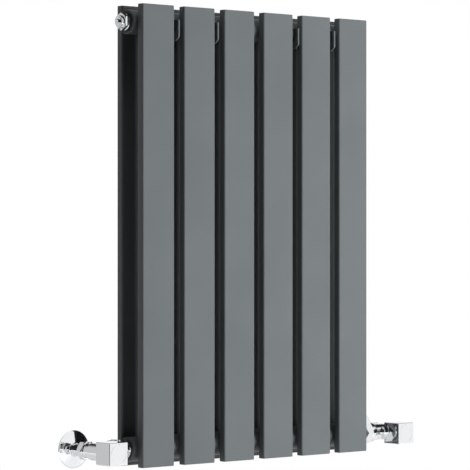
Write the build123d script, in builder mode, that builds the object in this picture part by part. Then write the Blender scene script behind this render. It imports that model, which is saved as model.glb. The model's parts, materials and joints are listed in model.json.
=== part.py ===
from build123d import *
from math import cos, radians, sqrt
import os

# Double flat-panel water radiator with square-headed angled valves.
# +Z is up and the radiator faces -Y.  The wall is the plane Y = 0.  The origin is the middle of the
# four slots of the two upper wall brackets.  All lengths are in millimetres.

os.makedirs("parts", exist_ok=True)

# ---------------------------------------------------------------- driving sizes: radiator
panel_count = 6
panel_w = 56.0          # width of one flat tube
panel_gap = 16.8        # open gap between neighbouring tubes
panel_t = 12.0          # depth of one flat tube
panel_h = 635.0         # height over the end caps
panel_wall = 1.5
panel_edge_r = 2.5
cap_t = 2.0             # end cap, outside the tube
cap_edge_r = 1.0
cap_spigot = 4.0        # part of the cap that plugs into the tube
row_clear = 0.15        # each row stands this far from the collectors
wall_gap = 22.0         # between the rear row and the wall
holes_below_top = 45.0  # middle of the upper bracket slots, below the panels' top
hang_x = -3.0           # the radiator hangs this far to one side of the brackets' middle

collector_d = 33.7
collector_wall = 2.6
collector_inset = 24.0  # collector axis from the panels' ends
collector_reach = 5.6   # collector end beyond the outer panel's edge
collector_edge_r = 1.0
nipple_r = 8.0          # water nipple between a collector and a panel
nipple_bore_r = 6.0
nipple_stand = 1.0      # nipple's end beyond the inside of a wall
boss_l = 12.0           # threaded end boss in each collector end
thread_r = 10.4         # half-inch pipe thread, drawn plain

fit = 0.08              # clearance of fixed round fits and threads
run = 0.05              # clearance of turning and sliding fits

# ---------------------------------------------------------------- driving sizes: wall brackets
bracket_ease = 2.6      # the two brackets stand this much wider apart than the panels they straddle
arm_squeeze = 2.4       # the two arms of a bracket are this much closer than two neighbouring gaps
steel_t = 2.5
bracket_r = 1.0         # rounding of the plate's corners
arm_rear_top = 14.0     # top of an upper arm at the wall, below the panels' top
arm_rear_foot = 75.0    # foot of an upper arm at the wall, below the panels' top
prong_t = 6.65          # thickness of the hook's prong in front of the collector
prong_rise = 5.4        # top of the prong, above the collector axis
hook_floor = 5.45       # steel left under the collector
hook_chamfer_y = 6.7
hook_chamfer_z = 5.6
saddle_half_h = 13.0    # lower brackets: half height of the arm's cradle
saddle_plate_half_h = 22.0
pad_t = 1.5             # plastic liner between steel and collector
pad_cheek = 1.2
pad_grip = 3.0          # how far the liner's cheeks reach over the arm
low_pad_share = 0.7     # a lower liner starts this share of the collector's radius behind its axis
slot_r = 3.5
slot_l = 14.0
slot_spacing_z = 32.0

# ---------------------------------------------------------------- driving sizes: valves
valve_out = 58.0        # valve axis from the outer panel's edge
head_size = 31.0
head_front = 51.3       # head's front face, ahead of the collector axis
head_edge_r = 0.8
head_clear = 0.75       # between the valve barrel and the head's bore
head_ceiling = 34.5     # end of the knob's inside, ahead of the collector axis
cap_ceiling = 43.0      # end of the lockshield cap's inside
disc_r = 12.5
disc_t = 1.2
notch_w = 2.8
notch_h = 1.1
notch_depth = 0.8
notch_below_edge = 2.6
ring_w = 0.5            # ring engraved in the lockshield cap, where the knob has its disc
ring_depth = 0.4
clip_inset = 0.5        # the cap's inner web stops this far short of both ends of the bonnet's hexagon
clip_bite = 0.5         # how far that web runs into the cap's wall

barrel_r = 12.25
barrel_front = 22.8     # these stations are ahead of the collector axis, or behind it where negative
barrel_back = -5.5
barrel_merge = 2.0      # how far two turned stretches run into each other
chamber_r = 9.0
seat_face = -7.0
seat_r = 6.0
seat_back = -10.0
neck_wall = 3.0         # around the pipe
neck_back = -23.0
branch_r = 12.0
branch_bore_r = 8.0
branch_end = 23.0       # mouth of the side branch, from the outer panel's edge

seal_ledge = 2.1        # flanges and seals reach this far beyond the pipe thread
tail_flange_t = 3.0
tail_r = 9.9
tail_head_t = 3.6
washer_t = 1.0
union_af = 30.0
union_start = 14.0      # union nut, from the outer panel's edge
union_hex_end = 27.0
union_end = 36.0
union_lip_r = 13.9
hex_round = 1.09        # corners of the larger nuts are turned to this share of their flats

bonnet_foot = 12.0
bonnet_hex_af = 20.0
bonnet_hex_top = 27.0
bonnet_neck_wall = 2.0
bonnet_top = 33.0
bonnet_step = 22.0
stem_r = 4.0
stem_step = 1.0         # the gland stretch of the spindle is thicker by this
stem_clear = 2.0        # spindle's shoulder ahead of the jumper
gland_inset = 2.0       # end of the gland stretch, inside the bonnet's top
groove_inset = 2.5      # middles of the O-ring grooves, from the gland stretch's ends
groove_clear = 0.1      # between an O-ring and the bottom of its groove
oring_r = 0.8
spline_r = 3.5
stem_top = 41.0
square_af = 6.0
square_top = 37.0
jumper_r = 7.8
jumper_t = 3.0
jumper_boss_r = 6.0
jumper_top = 6.0
button_r = 3.4
button_neck_r = 2.5
button_gap = 0.1
washer_r = 7.0
washer_disc_t = 2.0
knob_screw_head_r = 3.5
knob_screw_head_l = 3.0
knob_screw_head_clear = 0.5
knob_screw_r = 1.5
knob_screw_clear = 0.3
knob_screw_l = 8.0      # shank, under the head
knob_screw_deep = 6.0   # seat of the screw's head, behind the knob's face
knob_screw_key_r = 1.5
knob_screw_key_l = 1.6

pipe_r = 7.5
pipe_wall = 1.0
pipe_in_body = 11.0     # end of the pipe inside the body, behind the collector axis
pipe_past_wall = 25.0
mark_w = 0.8            # depth mark turned into the pipe at the wall
mark_depth = 0.25
nut_wall = 1.5          # between the body's neck and the compression nut's flats
nut_front = -16.6
nut_hex_back = -27.5
nut_back = -30.0
nut_collar_wall = 1.75
nut_shoulder_in = 0.6   # the nut's cone starts this far inside its flats
olive_front = -23.0
olive_back = -27.0
olive_t = 1.5           # olive's thickness at its middle
olive_lip = 0.4         # and at its ends
plate_r = 26.0
plate_t = 1.0
plate_dish = 3.0
plate_hub_w = 2.1       # flat rim around the pipe

# ---------------------------------------------------------------- driving sizes: bleed plug
seal_t = 2.0
plug_ledge = 1.6        # plug's collar beyond the pipe thread
plug_collar_t = 2.0
plug_af = 22.0
plug_hex_t = 6.0
plug_hex_round = 1.1
blank_hex_t = 4.0
plug_thread_l = 10.0
plug_bore_r = 2.0
core_r = 5.5
core_l = 4.5
core_lip_r = 6.2
core_lip_t = 0.5
nozzle_r = 8.6
nozzle_spout_r = 1.9
nozzle_spout_l = 2.2
bleed_r = 3.0
bleed_cone_l = 1.2
bleed_tip_r = 1.2
key_square = 5.0
key_round_r = 3.1       # the square's corners are turned to this radius
key_chamfer = 0.4
key_l = 3.4

# ---------------------------------------------------------------- worked out from the sizes above
pitch = panel_w + panel_gap
row_w = panel_count * panel_w + (panel_count - 1) * panel_gap
panel_xs = [hang_x + (i - (panel_count - 1) / 2) * pitch for i in range(panel_count)]
panel_top = holes_below_top
panel_foot = panel_top - panel_h
collector_r = collector_d / 2
row_gap = collector_d + 2 * row_clear           # between the front row and the rear row
axis_out = wall_gap + panel_t + row_gap / 2     # collector axis from the wall
rear_mid = wall_gap + panel_t / 2               # middle of the rear row, from the wall
front_mid = wall_gap + 1.5 * panel_t + row_gap  # middle of the front row, from the wall
upper_z = panel_top - collector_inset
lower_z = panel_foot + collector_inset
collector_half = row_w / 2 + collector_reach
collector_bore_r = collector_r - collector_wall
arm_spread = pitch - arm_squeeze                # between the two arms of one bracket
bracket_pitch = (panel_count - 3) * pitch + bracket_ease
seal_r = thread_r + seal_ledge
plug_collar_r = thread_r + plug_ledge
neck_r = pipe_r + neck_wall
nut_af = 2 * (neck_r + nut_wall)
plate_hub_r = pipe_r + plate_hub_w
head_bore_r = barrel_r + head_clear
gland_r = stem_r + stem_step
stem_groove_r = gland_r - 2 * oring_r - groove_clear


def export(piece, name):
    """Label a finished piece and write it as one STEP file."""
    piece.part.label = name
    export_step(piece.part, f"parts/{name}.step")


def side_plane(side, along, z):
    """A plane across the collector axis, facing outwards; along is from the outer panel's edge."""
    x = hang_x + side * (row_w / 2 + along)
    return Plane(origin=(x, -axis_out, z), x_dir=(0, side, 0), z_dir=(side, 0, 0))


def front_plane(x, station, z):
    """A plane across a valve axis, facing the front; station is ahead of the collector axis."""
    return Plane(origin=(x, -axis_out - station, z), x_dir=(1, 0, 0), z_dir=(0, -1, 0))


# ================================================================ panels
# Each panel is a closed flat tube.  It is open to both collectors through the holes in the wall
# that faces them.
rows = (("front", front_mid, 1), ("rear", rear_mid, -1))
for row, mid, towards in rows:
    hole_face = axis_out + towards * row_gap / 2
    for number, x in enumerate(panel_xs, start=1):
        with BuildPart() as panel:
            with BuildSketch(Plane.XY.offset(panel_foot + cap_t)):
                with Locations((x, -mid)):
                    RectangleRounded(panel_w, panel_t, panel_edge_r)
                    RectangleRounded(panel_w - 2 * panel_wall, panel_t - 2 * panel_wall,
                                     panel_edge_r - panel_wall, mode=Mode.SUBTRACT)
            extrude(amount=panel_h - 2 * cap_t)
            with BuildSketch(Plane.XZ.offset(hole_face)):
                with Locations((x, upper_z), (x, lower_z)):
                    Circle(nipple_r + fit)
            extrude(amount=towards * panel_t / 2, mode=Mode.SUBTRACT)
        export(panel, f"{row}_panel_{number}")

# The end caps close the tubes: a plate with a rounded rim and a spigot inside the tube.
for row, mid, towards in rows:
    with BuildPart() as caps:
        for end, up in ((panel_top, 1), (panel_foot, -1)):
            with BuildSketch(Plane.XY.offset(end - up * cap_t)):
                with Locations([(x, -mid) for x in panel_xs]):
                    RectangleRounded(panel_w, panel_t, panel_edge_r)
            extrude(amount=up * cap_t)
            with BuildSketch(Plane.XY.offset(end - up * cap_t)):
                with Locations([(x, -mid) for x in panel_xs]):
                    RectangleRounded(panel_w - 2 * (panel_wall + fit), panel_t - 2 * (panel_wall + fit),
                                     panel_edge_r - panel_wall - fit)
            extrude(amount=-up * cap_spigot)
        levels = caps.faces().filter_by(Axis.Z).group_by(Axis.Z)
        fillet(levels[-1].edges() + levels[0].edges(), cap_edge_r)
    export(caps, f"{row}_end_caps")

# ================================================================ collectors
for level, z in (("upper", upper_z), ("lower", lower_z)):
    with BuildPart() as collector:
        with BuildSketch(side_plane(-1, collector_reach, z)):
            Circle(collector_r)
            Circle(collector_bore_r, mode=Mode.SUBTRACT)
        extrude(amount=-2 * collector_half)
        circles = collector.edges().filter_by(GeomType.CIRCLE)
        rims = circles.filter_by(lambda edge: edge.radius > collector_bore_r + fit)
        fillet(rims, collector_edge_r)
        with BuildSketch(Plane.XZ.offset(axis_out)):
            with Locations([(x, z) for x in panel_xs]):
                Circle(nipple_r + fit)
        extrude(amount=row_gap, both=True, mode=Mode.SUBTRACT)
    export(collector, f"{level}_collector")

# Short nipples carry the water from the collectors into the panels and hold the rows together.
nipple_inner = sqrt(collector_bore_r ** 2 - nipple_r ** 2) - nipple_stand
nipple_outer = row_gap / 2 + panel_wall + nipple_stand
with BuildPart() as nipples:
    for z in (upper_z, lower_z):
        for towards in (1, -1):
            with BuildSketch(Plane.XZ.offset(axis_out + towards * nipple_inner)):
                with Locations([(x, z) for x in panel_xs]):
                    Circle(nipple_r)
                    Circle(nipple_bore_r, mode=Mode.SUBTRACT)
            extrude(amount=towards * (nipple_outer - nipple_inner))
export(nipples, "water_nipples")

# Threaded bosses close the four collector ends.
with BuildPart() as bosses:
    for z in (upper_z, lower_z):
        for side in (-1, 1):
            with BuildSketch(side_plane(side, collector_reach, z)):
                Circle(collector_bore_r - fit)
                Circle(thread_r + fit, mode=Mode.SUBTRACT)
            extrude(amount=-boss_l)
export(bosses, "collector_end_bosses")

# ================================================================ bleed plug and blanking plug
# Stations along the plugs are counted outwards from the collector's end.


def end_plane(side, station, z):
    return side_plane(side, collector_reach + station, z)


hex_start = seal_t + plug_collar_t
hex_end = hex_start + plug_hex_t
core_end = hex_end + core_l
bleed_seat = hex_start

with BuildPart() as vent_body:
    with BuildSketch(end_plane(-1, -plug_thread_l, upper_z)):
        Circle(thread_r)
    extrude(amount=plug_thread_l + seal_t)
    with BuildSketch(end_plane(-1, seal_t, upper_z)):
        Circle(plug_collar_r)
    extrude(amount=plug_collar_t)
    with BuildSketch(end_plane(-1, hex_start, upper_z)):
        RegularPolygon(plug_af / 2, 6, major_radius=False, rotation=30)
        Circle(plug_af / 2 * plug_hex_round, mode=Mode.INTERSECT)
    extrude(amount=plug_hex_t)
    with BuildSketch(end_plane(-1, hex_end, upper_z)):
        Circle(core_r)
    extrude(amount=core_l)
    with BuildSketch(end_plane(-1, core_end - core_lip_t, upper_z)):
        Circle(core_lip_r)
    extrude(amount=core_lip_t)
    with BuildSketch(end_plane(-1, bleed_seat, upper_z)):
        Circle(bleed_r + run)
    extrude(amount=core_end, mode=Mode.SUBTRACT)
    with BuildSketch(end_plane(-1, -plug_thread_l, upper_z)):
        Circle(plug_bore_r)
    extrude(amount=core_end, mode=Mode.SUBTRACT)
export(vent_body, "vent_body")

nozzle_l = core_l - core_lip_t - 2 * fit
with BuildPart() as vent_nozzle:
    with BuildSketch(end_plane(-1, hex_end + fit, upper_z)):
        Circle(nozzle_r)
    extrude(amount=nozzle_l)
    fillet(vent_nozzle.faces().sort_by(Axis.X)[0].edges(), cap_edge_r)
    spout = Plane(origin=(hang_x - collector_half - hex_end - fit - nozzle_l / 2, -axis_out, upper_z),
                  x_dir=(1, 0, 0), z_dir=(0, 0, -1))
    with BuildSketch(spout.offset((core_r + nozzle_r) / 2)):
        Circle(nozzle_spout_r)
    extrude(amount=(nozzle_r - core_r) / 2 + nozzle_spout_l)
    with BuildSketch(end_plane(-1, hex_end, upper_z)):
        Circle(core_r + run)
    extrude(amount=core_l, mode=Mode.SUBTRACT)
    with BuildSketch(spout):
        Circle(nozzle_spout_r / 2)
    extrude(amount=nozzle_r + 2 * nozzle_spout_l, mode=Mode.SUBTRACT)
export(vent_nozzle, "vent_nozzle")

with BuildPart() as vent_screw:
    with BuildSketch(end_plane(-1, bleed_seat + bleed_cone_l + fit, upper_z)):
        Circle(bleed_r)
    extrude(amount=core_end - bleed_seat - bleed_cone_l)
    with BuildSketch(end_plane(-1, bleed_seat + bleed_cone_l + fit, upper_z)):
        Circle(bleed_r)
    with BuildSketch(end_plane(-1, bleed_seat + fit, upper_z)):
        Circle(bleed_tip_r)
    loft()
    with BuildSketch(end_plane(-1, core_end + fit, upper_z)):
        Rectangle(key_square, key_square)
        Circle(key_round_r, mode=Mode.INTERSECT)
    extrude(amount=key_l)
    chamfer(vent_screw.faces().sort_by(Axis.X)[0].edges(), key_chamfer)
export(vent_screw, "vent_screw")

with BuildPart() as blanking_plug:
    with BuildSketch(end_plane(1, -plug_thread_l, upper_z)):
        Circle(thread_r)
    extrude(amount=plug_thread_l + seal_t)
    with BuildSketch(end_plane(1, seal_t, upper_z)):
        Circle(plug_collar_r)
    extrude(amount=plug_collar_t)
    with BuildSketch(end_plane(1, hex_start, upper_z)):
        RegularPolygon(plug_af / 2, 6, major_radius=False, rotation=30)
        Circle(plug_af / 2 * plug_hex_round, mode=Mode.INTERSECT)
    extrude(amount=blank_hex_t)
export(blanking_plug, "blanking_plug")

for side, name in ((-1, "vent_seal"), (1, "blanking_seal")):
    with BuildPart() as seal:
        with BuildSketch(end_plane(side, 0, upper_z)):
            Circle(seal_r)
            Circle(thread_r + fit, mode=Mode.SUBTRACT)
        extrude(amount=seal_t)
    export(seal, name)

# ================================================================ wall brackets
# Each upper bracket is a steel channel.  Its back plate is screwed to the wall, and its two arms
# pass between the panels and hook under the collector.
hook_r = collector_r + pad_t
plate_w = arm_spread + steel_t
hook_top = upper_z + prong_rise
hook_bottom = upper_z - hook_r - hook_floor
arm_front = axis_out + hook_r + prong_t
arm_top = panel_top - arm_rear_top
arm_foot = panel_top - arm_rear_foot
bracket_xs = (("left", -bracket_pitch / 2), ("right", bracket_pitch / 2))

for name, x in bracket_xs:
    with BuildPart() as bracket:
        for arm_x in (x - arm_spread / 2, x + arm_spread / 2):
            with BuildSketch(Plane.YZ.offset(arm_x - steel_t / 2)):
                with BuildLine():
                    Polyline(
                        (0, arm_top), (hook_r - axis_out, arm_top), (hook_r - axis_out, upper_z),
                        (-hook_r - axis_out, upper_z), (-hook_r - axis_out, hook_top),
                        (-arm_front, hook_top), (-arm_front, hook_bottom + hook_chamfer_z),
                        (hook_chamfer_y - arm_front, hook_bottom), (hook_r - axis_out, hook_bottom),
                        (0, arm_foot), close=True)
                make_face()
                with Locations((-axis_out, upper_z)):
                    Circle(hook_r, mode=Mode.SUBTRACT)
            extrude(amount=steel_t)
        with BuildSketch(Plane.XZ):
            with Locations((x, (arm_top + arm_foot) / 2)):
                RectangleRounded(plate_w, arm_top - arm_foot, bracket_r)
        extrude(amount=steel_t)
        with BuildSketch(Plane.XZ):
            with Locations((x, slot_spacing_z / 2), (x, -slot_spacing_z / 2)):
                SlotOverall(slot_l, 2 * slot_r)
        extrude(amount=steel_t, mode=Mode.SUBTRACT)
    export(bracket, f"upper_bracket_{name}")

# The lower brackets only keep the radiator off the wall: their arms end in a cradle behind the
# collector.
for name, x in bracket_xs:
    with BuildPart() as bracket:
        for arm_x in (x - arm_spread / 2, x + arm_spread / 2):
            with BuildSketch(Plane.YZ.offset(arm_x - steel_t / 2)):
                with BuildLine():
                    Polyline(
                        (0, lower_z + saddle_plate_half_h), (-axis_out, lower_z + saddle_half_h),
                        (-axis_out, lower_z - saddle_half_h), (0, lower_z - saddle_plate_half_h), close=True)
                make_face()
                with Locations((-axis_out, lower_z)):
                    Circle(hook_r, mode=Mode.SUBTRACT)
            extrude(amount=steel_t)
        with BuildSketch(Plane.XZ):
            with Locations((x, lower_z)):
                RectangleRounded(plate_w, 2 * saddle_plate_half_h, bracket_r)
        extrude(amount=steel_t)
        with BuildSketch(Plane.XZ):
            with Locations((x, lower_z)):
                SlotOverall(slot_l, 2 * slot_r)
        extrude(amount=steel_t, mode=Mode.SUBTRACT)
    export(bracket, f"lower_bracket_{name}")

# Plastic liners clip over the steel where the collectors rest: a thin bed between the steel and
# the collector, with a cheek on each side of the arm.
groove_in_pad = steel_t + 2 * fit
pad_w = groove_in_pad + 2 * pad_cheek
slices = (
    (-pad_w / 2, pad_cheek, hook_r + pad_grip),
    (-groove_in_pad / 2, groove_in_pad, hook_r - fit),
    (groove_in_pad / 2, pad_cheek, hook_r + pad_grip),
)
beds = (
    ("upper", upper_z, -collector_d, collector_d, hook_top - upper_z),
    ("lower", lower_z, collector_r * low_pad_share, collector_d, saddle_half_h),
)
for level, z, bed_front, bed_back, bed_top in beds:
    bed_foot = -collector_d if level == "upper" else -saddle_half_h
    bed_y = (bed_front + bed_back) / 2 - axis_out
    bed_z = z + (bed_foot + bed_top) / 2
    with BuildPart() as pads:
        for _, x in bracket_xs:
            for arm_x in (x - arm_spread / 2, x + arm_spread / 2):
                for start, width, outer in slices:
                    with BuildSketch(Plane.YZ.offset(arm_x + start)):
                        with Locations((-axis_out, z)):
                            Circle(outer)
                            Circle(collector_r + fit, mode=Mode.SUBTRACT)
                        with Locations((bed_y, bed_z)):
                            Rectangle(bed_back - bed_front, bed_top - bed_foot, mode=Mode.INTERSECT)
                    extrude(amount=width)
    export(pads, f"{level}_collector_pads")

# ================================================================ valves
# Both valves are the same but for their heads: the left one has a square hand knob, the right one a
# square lockshield cap that pulls off its square-ended spindle.
for side, name in ((-1, "left"), (1, "right")):
    axis_x = hang_x + side * (row_w / 2 + valve_out)

    def across(station):
        """A plane across this valve's axis."""
        return front_plane(axis_x, station, lower_z)

    def along(station):
        """A plane across the side branch, from the outer panel's edge."""
        return side_plane(side, station, lower_z)

    # ---- body: barrel, rear neck and side branch around a chamber with the seat at its back
    with BuildPart() as body:
        with BuildSketch(across(barrel_back)):
            Circle(barrel_r)
        extrude(amount=barrel_front - barrel_back)
        with BuildSketch(across(neck_back)):
            Circle(neck_r)
        extrude(amount=barrel_back - neck_back + barrel_merge)
        with BuildSketch(along(branch_end)):
            Circle(branch_r)
        extrude(amount=valve_out - branch_end)
        with BuildSketch(across(seat_face)):
            Circle(chamber_r)
        extrude(amount=barrel_front - seat_face, mode=Mode.SUBTRACT)
        with BuildSketch(across(seat_back)):
            Circle(seat_r)
        extrude(amount=seat_face - seat_back + barrel_merge, mode=Mode.SUBTRACT)
        with BuildSketch(across(neck_back)):
            Circle(pipe_r + fit)
        extrude(amount=seat_back - neck_back, mode=Mode.SUBTRACT)
        with BuildSketch(along(branch_end)):
            Circle(branch_bore_r)
        extrude(amount=valve_out - branch_end, mode=Mode.SUBTRACT)
    export(body, f"{name}_valve_body")

    # ---- tailpiece, screwed into the collector, and the union nut that pulls it to the body
    tail_end = branch_end - washer_t
    with BuildPart() as tail:
        with BuildSketch(along(collector_reach - plug_thread_l)):
            Circle(thread_r)
        extrude(amount=plug_thread_l)
        with BuildSketch(along(collector_reach)):
            Circle(seal_r)
        extrude(amount=tail_flange_t)
        with BuildSketch(along(collector_reach)):
            Circle(tail_r)
        extrude(amount=tail_end - collector_reach)
        with BuildSketch(along(tail_end - tail_head_t)):
            Circle(branch_r - fit)
        extrude(amount=tail_head_t)
        with BuildSketch(along(collector_reach - plug_thread_l)):
            Circle(branch_bore_r)
        extrude(amount=tail_end - collector_reach + plug_thread_l, mode=Mode.SUBTRACT)
    export(tail, f"{name}_tailpiece")

    with BuildPart() as union_nut:
        with BuildSketch(along(union_start)):
            RegularPolygon(union_af / 2, 6, major_radius=False)
            Circle(union_af / 2 * hex_round, mode=Mode.INTERSECT)
        extrude(amount=union_hex_end - union_start)
        with BuildSketch(along(union_hex_end)):
            Circle(union_af / 2)
        with BuildSketch(along(union_end)):
            Circle(union_lip_r)
        loft()
        with BuildSketch(along(union_start)):
            Circle(tail_r + fit)
        extrude(amount=union_end, mode=Mode.SUBTRACT)
        with BuildSketch(along(tail_end - tail_head_t - fit)):
            Circle(branch_r + fit)
        extrude(amount=union_end, mode=Mode.SUBTRACT)
    export(union_nut, f"{name}_union_nut")

    # ---- pipe, olive and compression nut
    with BuildPart() as pipe:
        with BuildSketch(across(-axis_out - pipe_past_wall)):
            Circle(pipe_r)
            Circle(pipe_r - pipe_wall, mode=Mode.SUBTRACT)
        extrude(amount=axis_out + pipe_past_wall - pipe_in_body)
        with BuildSketch(across(-axis_out)):
            Circle(pipe_r)
            Circle(pipe_r - mark_depth, mode=Mode.SUBTRACT)
        extrude(amount=mark_w, mode=Mode.SUBTRACT)
    export(pipe, f"{name}_pipe")

    with BuildPart() as olive:
        with BuildSketch(across(olive_back)):
            Circle(pipe_r + fit + olive_lip)
        with BuildSketch(across((olive_front + olive_back) / 2)):
            Circle(pipe_r + olive_t)
        with BuildSketch(across(olive_front)):
            Circle(pipe_r + fit + olive_lip)
        loft(ruled=True)
        with BuildSketch(across(olive_back)):
            Circle(pipe_r + fit)
        extrude(amount=olive_front - olive_back, mode=Mode.SUBTRACT)
    export(olive, f"{name}_olive")

    with BuildPart() as nut:
        with BuildSketch(across(nut_hex_back)):
            RegularPolygon(nut_af / 2, 6, major_radius=False)
            Circle(nut_af / 2 * hex_round, mode=Mode.INTERSECT)
        extrude(amount=nut_front - nut_hex_back)
        with BuildSketch(across(nut_hex_back)):
            Circle(nut_af / 2 - nut_shoulder_in)
        with BuildSketch(across(nut_back)):
            Circle(pipe_r + nut_collar_wall)
        loft()
        with BuildSketch(across(nut_back)):
            Circle(pipe_r + fit)
        extrude(amount=nut_front - nut_back, mode=Mode.SUBTRACT)
        with BuildSketch(across(olive_back - fit)):
            Circle(neck_r + fit)
        extrude(amount=nut_front - nut_back, mode=Mode.SUBTRACT)
    export(nut, f"{name}_compression_nut")

    # ---- dished wall plate that slides on the pipe
    with BuildPart() as plate:
        with BuildSketch(Plane(origin=(axis_x, 0, lower_z), x_dir=(1, 0, 0), z_dir=(0, 0, 1))):
            with BuildLine():
                rim = pipe_r + run
                Polyline(
                    (rim, -plate_dish - plate_t), (plate_hub_r, -plate_dish - plate_t),
                    (plate_r - plate_dish, -plate_dish + plate_t), (plate_r, -run),
                    (plate_r - plate_t, -run), (plate_r - plate_dish, -plate_dish + 2 * plate_t),
                    (plate_hub_r, -plate_dish + plate_t / 2), (rim, -plate_dish + plate_t / 2),
                    close=True)
            make_face()
        revolve(axis=Axis((axis_x, 0, lower_z), (0, 1, 0)))
    export(plate, f"{name}_wall_plate")

    # ---- headwork: bonnet, spindle with its O-rings, jumper and its rubber washer
    with BuildPart() as bonnet:
        with BuildSketch(across(bonnet_foot)):
            Circle(chamber_r - fit)
        extrude(amount=barrel_front - bonnet_foot)
        with BuildSketch(across(barrel_front)):
            RegularPolygon(bonnet_hex_af / 2, 6, major_radius=False)
        extrude(amount=bonnet_hex_top - barrel_front)
        with BuildSketch(across(barrel_front)):
            Circle(gland_r + bonnet_neck_wall)
        extrude(amount=bonnet_top - barrel_front)
        with BuildSketch(across(bonnet_foot)):
            Circle(stem_r + run)
        extrude(amount=bonnet_top, mode=Mode.SUBTRACT)
        with BuildSketch(across(bonnet_step)):
            Circle(gland_r + run)
        extrude(amount=bonnet_top, mode=Mode.SUBTRACT)
    export(bonnet, f"{name}_bonnet")

    gland_foot = bonnet_step + 2 * button_gap
    gland_top = bonnet_top - gland_inset
    groove_w = 2 * oring_r + 2 * fit
    groove_mids = (gland_foot + groove_inset, gland_top - groove_inset)
    stem_foot = jumper_top + stem_clear
    button_foot = seat_face + washer_disc_t + run + jumper_t
    with BuildPart() as spindle:
        with BuildSketch(across(button_foot + button_gap)):
            Circle(button_r)
        extrude(amount=jumper_t)
        with BuildSketch(across(button_foot + button_gap)):
            Circle(button_neck_r)
        extrude(amount=stem_foot - button_foot)
        with BuildSketch(across(stem_foot)):
            Circle(stem_r)
        extrude(amount=gland_foot - stem_foot)
        with BuildSketch(across(gland_foot)):
            Circle(gland_r)
        extrude(amount=gland_top - gland_foot)
        if side < 0:
            with BuildSketch(across(gland_top)):
                Circle(spline_r)
            extrude(amount=stem_top - gland_top)
            with BuildSketch(across(stem_top)):
                Circle(knob_screw_r + fit)
            extrude(amount=gland_top - stem_top, mode=Mode.SUBTRACT)
        else:
            with BuildSketch(across(gland_top)):
                Rectangle(square_af, square_af)
            extrude(amount=square_top - gland_top)
        for mid in groove_mids:
            with BuildSketch(across(mid - groove_w / 2)):
                Circle(gland_r + run)
                Circle(stem_groove_r, mode=Mode.SUBTRACT)
            extrude(amount=groove_w, mode=Mode.SUBTRACT)
    export(spindle, f"{name}_spindle")

    with BuildPart() as orings:
        for mid in groove_mids:
            ring = across(mid)
            with BuildSketch(Plane(origin=ring.origin, x_dir=(1, 0, 0), z_dir=(0, 0, 1))):
                with Locations((gland_r - oring_r, 0)):
                    Circle(oring_r)
            revolve(axis=Axis(ring.origin, (0, 1, 0)))
    export(orings, f"{name}_spindle_seals")

    jumper_foot = seat_face + washer_disc_t + run
    with BuildPart() as jumper:
        with BuildSketch(across(jumper_foot)):
            Circle(jumper_r)
        extrude(amount=jumper_t)
        with BuildSketch(across(jumper_foot)):
            Circle(jumper_boss_r)
        extrude(amount=jumper_top - jumper_foot)
        with BuildSketch(across(button_foot)):
            Circle(button_r + button_gap)
        extrude(amount=jumper_t + 2 * button_gap, mode=Mode.SUBTRACT)
        with BuildSketch(across(button_foot)):
            Circle(button_neck_r + run)
        extrude(amount=jumper_top - button_foot, mode=Mode.SUBTRACT)
    export(jumper, f"{name}_jumper")

    with BuildPart() as washer:
        with BuildSketch(across(seat_face + run)):
            Circle(washer_r)
        extrude(amount=washer_disc_t)
    export(washer, f"{name}_jumper_washer")

    # ---- square head: a knob screwed to the spindle, or a cap clipped over the bonnet
    head_back = head_front - head_size
    ceiling = head_ceiling if side < 0 else cap_ceiling
    with BuildPart() as head:
        with BuildSketch(across(head_back)):
            Rectangle(head_size, head_size)
        extrude(amount=head_size)
        fillet(head.edges(), head_edge_r)
        with BuildSketch(across(head_back)):
            Circle(head_bore_r)
        extrude(amount=ceiling - head_back, mode=Mode.SUBTRACT)
        with BuildSketch(across(head_front)):
            with Locations((0, head_size / 2 - notch_below_edge)):
                SlotOverall(notch_w, notch_h)
        extrude(amount=-notch_depth, mode=Mode.SUBTRACT)
        if side < 0:
            with BuildSketch(across(head_front)):
                Circle(disc_r + fit)
            extrude(amount=-disc_t - fit, mode=Mode.SUBTRACT)
            with BuildSketch(across(head_front)):
                Circle(knob_screw_head_r + knob_screw_head_clear)
            extrude(amount=-knob_screw_deep, mode=Mode.SUBTRACT)
            with BuildSketch(across(head_front)):
                Circle(knob_screw_r + knob_screw_clear)
            extrude(amount=-head_size, mode=Mode.SUBTRACT)
            with BuildSketch(across(ceiling)):
                Circle(spline_r + fit)
            extrude(amount=stem_top + fit - ceiling, mode=Mode.SUBTRACT)
        else:
            with BuildSketch(across(head_front)):
                Circle(disc_r + ring_w / 2)
                Circle(disc_r - ring_w / 2, mode=Mode.SUBTRACT)
            extrude(amount=-ring_depth, mode=Mode.SUBTRACT)
            with BuildSketch(across(barrel_front + clip_inset)):
                Circle(head_bore_r + clip_bite)
                Circle(bonnet_hex_af / 2 / cos(radians(30)) + fit, mode=Mode.SUBTRACT)
            extrude(amount=bonnet_hex_top - barrel_front - 2 * clip_inset)
    export(head, "left_knob" if side < 0 else "right_lockshield_cap")

# Knob screw and the flush disc that hides it.
knob_x = hang_x - row_w / 2 - valve_out
screw_seat = head_front - knob_screw_deep
with BuildPart() as knob_screw:
    with BuildSketch(front_plane(knob_x, screw_seat, lower_z)):
        Circle(knob_screw_head_r)
    extrude(amount=knob_screw_head_l)
    with BuildSketch(front_plane(knob_x, screw_seat, lower_z)):
        Circle(knob_screw_r)
    extrude(amount=-knob_screw_l)
    with BuildSketch(front_plane(knob_x, screw_seat + knob_screw_head_l, lower_z)):
        RegularPolygon(knob_screw_key_r, 6, major_radius=False)
    extrude(amount=-knob_screw_key_l, mode=Mode.SUBTRACT)
export(knob_screw, "left_knob_screw")

with BuildPart() as knob_disc:
    with BuildSketch(front_plane(knob_x, head_front - disc_t, lower_z)):
        Circle(disc_r)
    extrude(amount=disc_t)
export(knob_disc, "left_knob_disc")

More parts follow.
